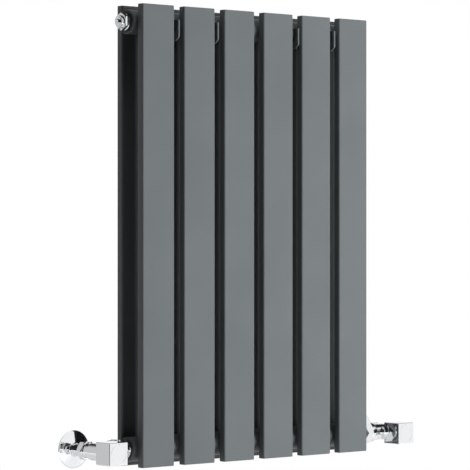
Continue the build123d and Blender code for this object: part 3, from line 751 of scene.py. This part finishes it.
for name, side in (("left", -1), ("right", 1)):
    at = valve_axis(name)
    body_low, body_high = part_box(f"{name}_valve_body")
    to_front, to_back = collector_y - body_low.y, collector_y - body_high.y
    reach = (body_high.x - at.x) if side < 0 else (at.x - body_low.x)
    barrel = [(to_back, 0), (to_back, PIPE_BORE), (to_back, NECK_R - 0.5 * MM)]
    barrel += threads(to_back + 0.6 * MM, to_back + NECK_THREAD, NECK_R)
    barrel += [(to_back + NECK_THREAD + 0.6 * MM, NECK_R - RELIEF),
               (BARREL_BACK - 1.0 * MM, NECK_R - RELIEF),
               (BARREL_BACK, BARREL_R - 0.8 * MM), (BARREL_BACK + 0.8 * MM, BARREL_R),
               (to_front - 0.6 * MM, BARREL_R), (to_front, BARREL_R - 0.6 * MM),
               (to_front, CHAMBER_R + 0.05 * MM), (CHAMBER_FLOOR, CHAMBER_R + 0.05 * MM), (CHAMBER_FLOOR, 0)]
    trunk = turn(f"{name}_valve_casting", at, (0, -1, 0), barrel, steps=128)
    inwards = (-side, 0, 0)
    arm = [(0, 0), (0, BRANCH_R - RELIEF), (reach - BRANCH_THREAD - 0.4 * MM, BRANCH_R - RELIEF)]
    arm += threads(reach - BRANCH_THREAD, reach - 0.6 * MM, BRANCH_R)
    arm += [(reach, BRANCH_R - 0.6 * MM), (reach, BRANCH_BORE), (BRANCH_FLOOR, BRANCH_BORE),
            (BRANCH_FLOOR, 0)]
    branch = turn(f"{name}_branch", at, inwards, arm, steps=128)
    casting = join_castings(trunk, branch)
    finish_piece(casting, "radiator", bright_chrome, "bright_chrome", f"{name}_valve_body")
    print(casting.name, len(casting.data.polygons))

# %% [markdown]
# ## Nuts, tailpieces, pipes and wall plates
#
# The union nut is a hexagon with a domed shoulder.  The compression nut behind the valve squeezes an
# olive onto the pipe.  The wall plate is a thin dished disc, bright as a mirror, that hides the hole
# in the wall.

# %% Nuts
UNION_AF = 30 * MM
UNION_DOME = 9 * MM
UNION_LIP = 14.2 * MM
UNION_THREAD = 12.15 * MM
UNION_FLOOR = 4.5 * MM
UNION_HOLE = 10 * MM
TAIL_BORE = 8 * MM
TAIL_R = 9.9 * MM
TAIL_THREAD_R = 10.4 * MM
TAIL_THREAD_L = 10 * MM
FLANGE_R = 12.5 * MM
FLANGE_END = 13 * MM
TAIL_HEAD_R = 11.9 * MM
TAIL_HEAD_L = 3.6 * MM
NUT_AF = 24 * MM
NUT_HEX = 10.9 * MM
NUT_THREAD = 10.6 * MM
NUT_HOLE = 7.6 * MM
NUT_FLOOR = 2.8 * MM


def arc_profile(start, end, bulge, steps=8):
    """A shallow arc between two profile points, pushed out by bulge in its middle."""
    (x0, r0), (x1, r1) = start, end
    return [(x0 + (x1 - x0) * k / steps, r0 + (r1 - r0) * k / steps + bulge * sin(pi * k / steps))
            for k in range(steps + 1)]


for name, side in (("left", -1), ("right", 1)):
    low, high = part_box(f"{name}_union_nut")
    start_x = high.x if side < 0 else low.x
    length = high.x - low.x
    hex_l = length - UNION_DOME
    outside = hex_profile(0, hex_l, UNION_AF, 30)
    outside += arc_profile((hex_l + 0.2 * MM, UNION_AF / 2 - 0.3 * MM), (length - 0.8 * MM, UNION_LIP),
                           0.5 * MM)
    outside += [(length - 0.2 * MM, UNION_LIP - 0.4 * MM), (length, UNION_LIP - 0.9 * MM)]
    inside = [(length, UNION_THREAD), (UNION_FLOOR, UNION_THREAD), (UNION_FLOOR, UNION_HOLE), (0, UNION_HOLE)]
    nut = turn(f"{name}_union_hexagon_nut", Vector((start_x, collector_y, lower_z)), (side, 0, 0),
               outside + inside, closed=True, flats=UNION_AF)
    finish_piece(nut, "radiator", bright_chrome, "bright_chrome", f"{name}_union_nut")

    low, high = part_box(f"{name}_tailpiece")
    start_x = high.x if side < 0 else low.x
    length = high.x - low.x
    profile = [(0, TAIL_BORE), (0, TAIL_THREAD_R - 0.6 * MM)]
    profile += threads(0.4 * MM, TAIL_THREAD_L - 0.4 * MM, TAIL_THREAD_R)
    profile += [(TAIL_THREAD_L, FLANGE_R - 0.5 * MM), (TAIL_THREAD_L + 0.4 * MM, FLANGE_R),
                (FLANGE_END - 0.4 * MM, FLANGE_R), (FLANGE_END, FLANGE_R - 0.4 * MM), (FLANGE_END, TAIL_R),
                (length - TAIL_HEAD_L, TAIL_R), (length - TAIL_HEAD_L, TAIL_HEAD_R),
                (length, TAIL_HEAD_R), (length, TAIL_BORE)]
    tail = turn(f"{name}_union_tail", Vector((start_x, collector_y, lower_z)), (side, 0, 0), profile,
                closed=True)
    finish_piece(tail, "radiator", bright_chrome, "bright_chrome", f"{name}_tailpiece")

    at = valve_axis(name)
    low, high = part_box(f"{name}_compression_nut")
    length = high.y - low.y
    outside = hex_profile(0, NUT_HEX, NUT_AF, 30)
    outside += arc_profile((NUT_HEX + 0.1 * MM, NUT_AF / 2 - 0.8 * MM), (length - 0.3 * MM, 9.4 * MM),
                           0.3 * MM)
    inside = [(length, 9.0 * MM), (length, NUT_HOLE), (length - NUT_FLOOR, NUT_HOLE),
              (length - NUT_FLOOR - 0.3 * MM, NUT_THREAD), (0, NUT_THREAD)]
    nut = turn(f"{name}_compression_hexagon_nut", Vector((at.x, low.y, lower_z)), (0, 1, 0),
               outside + inside, closed=True, flats=NUT_AF)
    finish_piece(nut, "radiator", bright_chrome, "bright_chrome", f"{name}_compression_nut")
print("nuts and tails made")

# %% [markdown]
# The pipe has a shallow ring turned into it where it enters the wall.  The plate's dish is a shallow
# arc, and its inside follows the same arc a skin's thickness behind.

# %% Pipes and wall plates
PIPE_WALL = 1.0 * MM
PIPE_RIM = 0.25 * MM
PLATE_SKIN = 0.9 * MM
PLATE_PLAY = 0.06 * MM
PLATE_DISH = 0.35 * MM
PLATE_HUB = 9.5 * MM
MARK_LONG = 0.8 * MM
MARK_SUNK = 0.25 * MM
for name in ("left", "right"):
    at = valve_axis(name)
    low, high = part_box(f"{name}_pipe")
    pipe_r = (high.x - low.x) / 2
    length = high.y - low.y
    wall_at = -low.y
    mark = [(wall_at - MARK_LONG, pipe_r), (wall_at - MARK_LONG + 0.1 * MM, pipe_r - MARK_SUNK),
            (wall_at - 0.1 * MM, pipe_r - MARK_SUNK), (wall_at, pipe_r)]
    outside = [(0, pipe_r - PIPE_RIM), (PIPE_RIM, pipe_r)] + mark
    outside += [(length - PIPE_RIM, pipe_r), (length, pipe_r - PIPE_RIM)]
    inside = [(length, pipe_r - PIPE_WALL), (0, pipe_r - PIPE_WALL)]
    tube = turn(f"{name}_supply_pipe", Vector((at.x, low.y, lower_z)), (0, 1, 0), outside + inside,
                closed=True)
    finish_piece(tube, "radiator", bright_chrome, "bright_chrome", f"{name}_pipe")

    low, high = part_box(f"{name}_wall_plate")
    plate_r = (high.x - low.x) / 2
    deep = high.y - low.y
    hole = pipe_r + PLATE_PLAY
    crown = arc_profile((0.35 * MM, PLATE_HUB), (deep - 0.7 * MM, plate_r - 0.6 * MM), -PLATE_DISH, 14)
    outside = [(0.25 * MM, hole), (0, hole + 0.3 * MM), (0, PLATE_HUB - 0.5 * MM)] + crown
    outside += [(deep - 0.35 * MM, plate_r), (deep, plate_r - 0.1 * MM)]
    inside = [(deep, plate_r - 0.8 * MM)] + [(x + PLATE_SKIN, r - 0.1 * MM) for x, r in reversed(crown)]
    inside += [(PLATE_SKIN + 0.3 * MM, hole)]
    inside = [(min(x, deep), r) for x, r in inside]
    plate = turn(f"{name}_pipe_collar", Vector((at.x, low.y, lower_z)), (0, 1, 0), outside + inside,
                 closed=True, steps=144)
    finish_piece(plate, f"{name}_wall_plate", bright_chrome, "bright_chrome", f"{name}_wall_plate")
print("pipes and plates made")

# %% [markdown]
# ## The square heads
#
# The hand knob and the lockshield cap are the same cube from outside.  A small mark near the top of
# the face shows how far the knob is turned.  The knob's screw hides under a flush disc; the cap
# only has a ring engraved where the disc would be.  We cut a softened cube with Booleans, one tool
# for each feature, as a mill would.

# %% Heads
HEAD_EDGE = 1.0 * MM
HEAD_BORE = 13 * MM
DISC_R = 12.5 * MM
LINE_W = 0.35 * MM
LINE_DEEP = 0.35 * MM
MARK_W = 2.8 * MM
MARK_H = 1.1 * MM
MARK_BELOW = 2.6 * MM
MARK_DEEP = 0.8 * MM
PAST = 1 * MM
KNOB_CEILING = 14.2 * MM
SCREW_WELL_R = 3.6 * MM
SCREW_WELL = 20.8 * MM
CAP_CEILING = 22.7 * MM
WEB_FROM = 3.0 * MM
WEB_TO = 6.2 * MM
WEB_R = 11.63 * MM


def soft_cube(name, low, high, radius):
    bm = bmesh.new()
    bmesh.ops.create_cube(bm, size=1.0)
    centre, size = (low + high) / 2, high - low
    for vert in bm.verts:
        vert.co = centre + Vector((vert.co.x * size.x, vert.co.y * size.y, vert.co.z * size.z))
    bmesh.ops.bevel(bm, geom=bm.edges[:], offset=radius, segments=5, profile=0.5, affect="EDGES")
    return from_bmesh(name, bm, 40)


def capsule(name, centre, width, height, depth, steps=12):
    """A small bar with round ends, lying along X and sunk along Y."""
    bm = bmesh.new()
    r = height / 2
    points = []
    for sx, start in ((1, -pi / 2), (-1, pi / 2)):
        for k in range(steps + 1):
            angle = start + pi * k / steps
            points.append((sx * (width / 2 - r) + r * cos(angle), r * sin(angle)))
    rings = [[bm.verts.new(centre + Vector((x, y, z))) for x, z in points] for y in (-depth, depth)]
    for k in range(len(points)):
        k1 = (k + 1) % len(points)
        bm.faces.new((rings[0][k], rings[0][k1], rings[1][k1], rings[1][k]))
    for ring in rings:
        bm.faces.new(ring)
    return from_bmesh(name, bm)


def cut(piece, *tools):
    for tool in tools:
        step = piece.modifiers.new("cut", "BOOLEAN")
        step.operation = "DIFFERENCE"
        step.solver = "EXACT"
        step.object = tool
    applied(piece)
    for tool in tools:
        bpy.data.objects.remove(tool)
    bm = bmesh.new()
    bm.from_mesh(piece.data)
    old = piece.name
    bpy.data.objects.remove(piece)
    return from_bmesh(old, bm, 35)


def head(name, node, bore_profile):
    """A softened cube, bored from behind, with the engraved ring and the mark on its face."""
    low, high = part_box(node)
    centre = middle(node)
    face = Vector((centre.x, low.y, centre.z))
    back = Vector((centre.x, high.y, centre.z))
    cube = soft_cube(name, low, high, HEAD_EDGE)
    bore = turn("bore", back, (0, -1, 0), bore_profile, steps=96)
    r_in, r_out = DISC_R - LINE_W / 2, DISC_R + LINE_W / 2
    line = [(-LINE_DEEP, r_in), (LINE_DEEP, r_in), (LINE_DEEP, r_out), (-LINE_DEEP, r_out)]
    ring = turn("ring", face, (0, 1, 0), line, closed=True, steps=96)
    mark_at = face + Vector((0, 0, (high.z - low.z) / 2 - MARK_BELOW))
    mark = capsule("mark", mark_at, MARK_W, MARK_H, MARK_DEEP)
    made = cut(cube, bore, ring, mark)
    weigh_normals(made)
    return made


knob_bore = [(-PAST, 0), (-PAST, HEAD_BORE), (KNOB_CEILING, HEAD_BORE), (KNOB_CEILING, SCREW_WELL_R),
             (SCREW_WELL, SCREW_WELL_R), (SCREW_WELL, 0)]
cap_bore = [(-PAST, 0), (-PAST, HEAD_BORE), (WEB_FROM, HEAD_BORE), (WEB_FROM, WEB_R), (WEB_TO, WEB_R),
            (WEB_TO, HEAD_BORE), (CAP_CEILING, HEAD_BORE), (CAP_CEILING, 0)]
knob = head("left_square_hand_knob", "left_knob", knob_bore)
finish_piece(knob, "left_knob", bright_chrome, "bright_chrome", "left_knob", "left_knob_disc",
             "left_knob_screw")
shield = head("right_square_lockshield_cap", "right_lockshield_cap", cap_bore)
finish_piece(shield, "right_cap", bright_chrome, "bright_chrome", "right_lockshield_cap")
print("heads:", len(knob.data.polygons), len(shield.data.polygons))

# %% [markdown]
# ## The wall brackets
#
# Bent steel never has a knife edge, so we take a copy of each bracket's mesh, merge its loose
# triangles, clear the flat faces and let a Bevel modifier break every edge by a third of a
# millimetre.

# %% Brackets
BREAK = 0.35 * MM


def softened_copy(node, name, width, body, material, slot):
    bm = bmesh.new()
    bm.from_mesh(nodes[node].data)
    bmesh.ops.remove_doubles(bm, verts=bm.verts, dist=1e-6)
    bmesh.ops.dissolve_limit(bm, angle_limit=radians(1), verts=bm.verts, edges=bm.edges)
    made = from_bmesh(name, bm, 30)
    step = made.modifiers.new("broken edges", "BEVEL")
    step.width = width
    step.segments = 2
    step.limit_method = "ANGLE"
    step.angle_limit = radians(40)
    step.harden_normals = True
    return finish_piece(made, body, material, slot, node)


for level in ("upper", "lower"):
    for name in ("left", "right"):
        softened_copy(f"{level}_bracket_{name}", f"{level}_{name}_wall_bracket", BREAK, "radiator",
                      bracket_enamel, "bracket_enamel")
print("brackets softened")

# %% [markdown]
# ## Floor
#
# The radiator hangs a hand's width above a pale floor. The disc carries a painted glow: its emission grows
# towards its rim until it runs into the white sky.

# %% Floor
FLOOR_DROP = 0.16
FLOOR_R = 1.3
GLOW_FROM = 0.75
GLOW = 0.55
floor_mesh = bpy.data.meshes.new("pale_floor")
bm = bmesh.new()
bmesh.ops.create_circle(bm, cap_ends=True, radius=FLOOR_R, segments=64)
for vert in bm.verts:
    vert.co.z = cap_low.z - FLOOR_DROP
bm.to_mesh(floor_mesh)
bm.free()
floor = bpy.data.objects.new("pale_floor", floor_mesh)
bpy.context.scene.collection.objects.link(floor)
pale, tree, where = start_material("pale studio floor")
mottle = add(tree, "ShaderNodeTexNoise", Vector=where, Scale=3.0, Detail=2.0)
shader = add(tree, "ShaderNodeBsdfPrincipled", Roughness=0.7,
             Base_Color=ramp(tree, mottle.outputs["Fac"], [(0.3, "#DADADA"), (0.7, "#E2E2E2")]))
# painted glow: emission rises from GLOW_FROM out to the rim, so the floor's edge fades into the white sky
# without any lamp lighting it
outwards = add(tree, "ShaderNodeVectorMath", {"operation": "LENGTH"}, _0=where)
glow = add(tree, "ShaderNodeMapRange", {"interpolation_type": "SMOOTHSTEP"}, Value=outwards.outputs["Value"],
           From_Min=GLOW_FROM, From_Max=FLOOR_R, To_Min=0.0, To_Max=GLOW)
shader.inputs["Emission Color"].default_value = (1, 1, 1, 1)
tree.links.new(glow.outputs["Result"], shader.inputs["Emission Strength"])
end_material(tree, shader)
floor.data.materials.append(pale)

# %% [markdown]
# ## Sky
#
# Chrome shows nothing but its surroundings, so the sky has three white cards in it, to the front
# right, dimmer to the rear left, and to the rear right where edges turn away, with darkness between
# them.  A dull surface sees only a dim even sky, and the camera sees white.

# %% Sky
AMBIENT = 0.02
DARK_CARD = 0.02
FRONT_CARD = 0.95
REAR_CARD = 0.57
BACK_CARD = 0.92
world = bpy.data.worlds.new("soft studio sky")
bpy.context.scene.world = world
world.use_nodes = True
tree = world.node_tree
tree.nodes.clear()
heading = add(tree, "ShaderNodeTexCoord").outputs["Generated"]


def card(direction, edge, full, brightness):
    """A white card in the sky: brightness falls off between two angles' cosines."""
    toward = add(tree, "ShaderNodeVectorMath", {"operation": "DOT_PRODUCT"}, _0=heading,
                 _1=tuple(Vector(direction).normalized()))
    fade = add(tree, "ShaderNodeMapRange", {"interpolation_type": "SMOOTHSTEP"},
               Value=toward.outputs["Value"], From_Min=edge, From_Max=full, To_Min=0.0, To_Max=brightness)
    return fade.outputs["Result"]


front_card = card((0.645, -0.764, 0.0), 0.55, 0.80, FRONT_CARD)
rear_card = card((-0.645, 0.764, 0.0), 0.55, 0.85, REAR_CARD)
back_card = card((0.645, 0.764, 0.0), 0.75, 0.95, BACK_CARD)
pair = add(tree, "ShaderNodeMath", {"operation": "ADD"}, _0=front_card, _1=rear_card)
cards = add(tree, "ShaderNodeMath", {"operation": "ADD"}, _0=pair.outputs[0], _1=back_card)
shiny = add(tree, "ShaderNodeMath", {"operation": "ADD"}, _0=cards.outputs[0], _1=DARK_CARD)
mirrored = add(tree, "ShaderNodeBackground", Color=(1, 1, 1, 1), Strength=shiny.outputs[0])
diffuse = add(tree, "ShaderNodeBackground", Color=(1, 1, 1, 1), Strength=AMBIENT)
plain = add(tree, "ShaderNodeBackground", Color=(1, 1, 1, 1), Strength=1.0)
ray = add(tree, "ShaderNodeLightPath").outputs
lit = add(tree, "ShaderNodeMixShader", _0=ray["Is Diffuse Ray"], _1=mirrored.outputs[0],
          _2=diffuse.outputs[0])
both = add(tree, "ShaderNodeMixShader", _0=ray["Is Camera Ray"], _1=lit.outputs[0], _2=plain.outputs[0])
add(tree, "ShaderNodeOutputWorld", Surface=both.outputs[0])

# %% [markdown]
# ## Softboxes
#
# One softbox stands to the front right, close enough to make the nearer tubes a little brighter, and
# steep enough to the faces that its light in the gaps stays out of sight.  A weaker one above lights
# the collectors' tops.  Neither shows in a mirror, because the cards in the sky do that job.

# %% Softboxes
BOX_AT = (1.03, -1.94, -0.15)
BOX_SIZE = 0.9
BOX_POWER = 114.0
TOP_AT = (-0.30, -0.20, 1.60)
TOP_SIZE = 1.0
TOP_POWER = 30.0


def softbox(name, place, size, power):
    data = bpy.data.lights.new(name, "AREA")
    data.shape = "SQUARE"
    data.size = size
    data.energy = power
    lamp = bpy.data.objects.new(name, data)
    lamp.location = place
    lamp.visible_glossy = False
    aim = Vector((mid_x, collector_y, mid_z)) - Vector(place)
    lamp.rotation_euler = aim.to_track_quat("-Z", "Y").to_euler()
    bpy.context.scene.collection.objects.link(lamp)


softbox("front_right_softbox", BOX_AT, BOX_SIZE, BOX_POWER)
softbox("top_softbox", TOP_AT, TOP_SIZE, TOP_POWER)
print("lights made")

# %% [markdown]
# ## Camera
#
# A long lens at the height of the radiator's middle, from the front left, keeps the tubes upright.

# %% Camera
VIEW_TURN = radians(40.16)
LENS = 186.4
BACK_OFF = 3.3204
ASIDE = 0.126
LIFT = 0.0014
forward = Vector((sin(VIEW_TURN), cos(VIEW_TURN), 0))
right = Vector((cos(VIEW_TURN), -sin(VIEW_TURN), 0))
corner = Vector((first_low.x, first_low.y, mid_z))
camera_data = bpy.data.cameras.new("camera")
camera_data.sensor_width = 36
camera_data.lens = LENS
camera_data.shift_y = LIFT
camera_data.clip_end = 30
camera = bpy.data.objects.new("camera", camera_data)
camera.location = corner + right * ASIDE - forward * BACK_OFF
camera.rotation_euler = forward.to_track_quat("-Z", "Y").to_euler()
bpy.context.scene.collection.objects.link(camera)
bpy.context.scene.camera = camera
bpy.context.scene.view_settings.view_transform = "Standard"
print("camera at", tuple(round(v, 3) for v in camera.location))
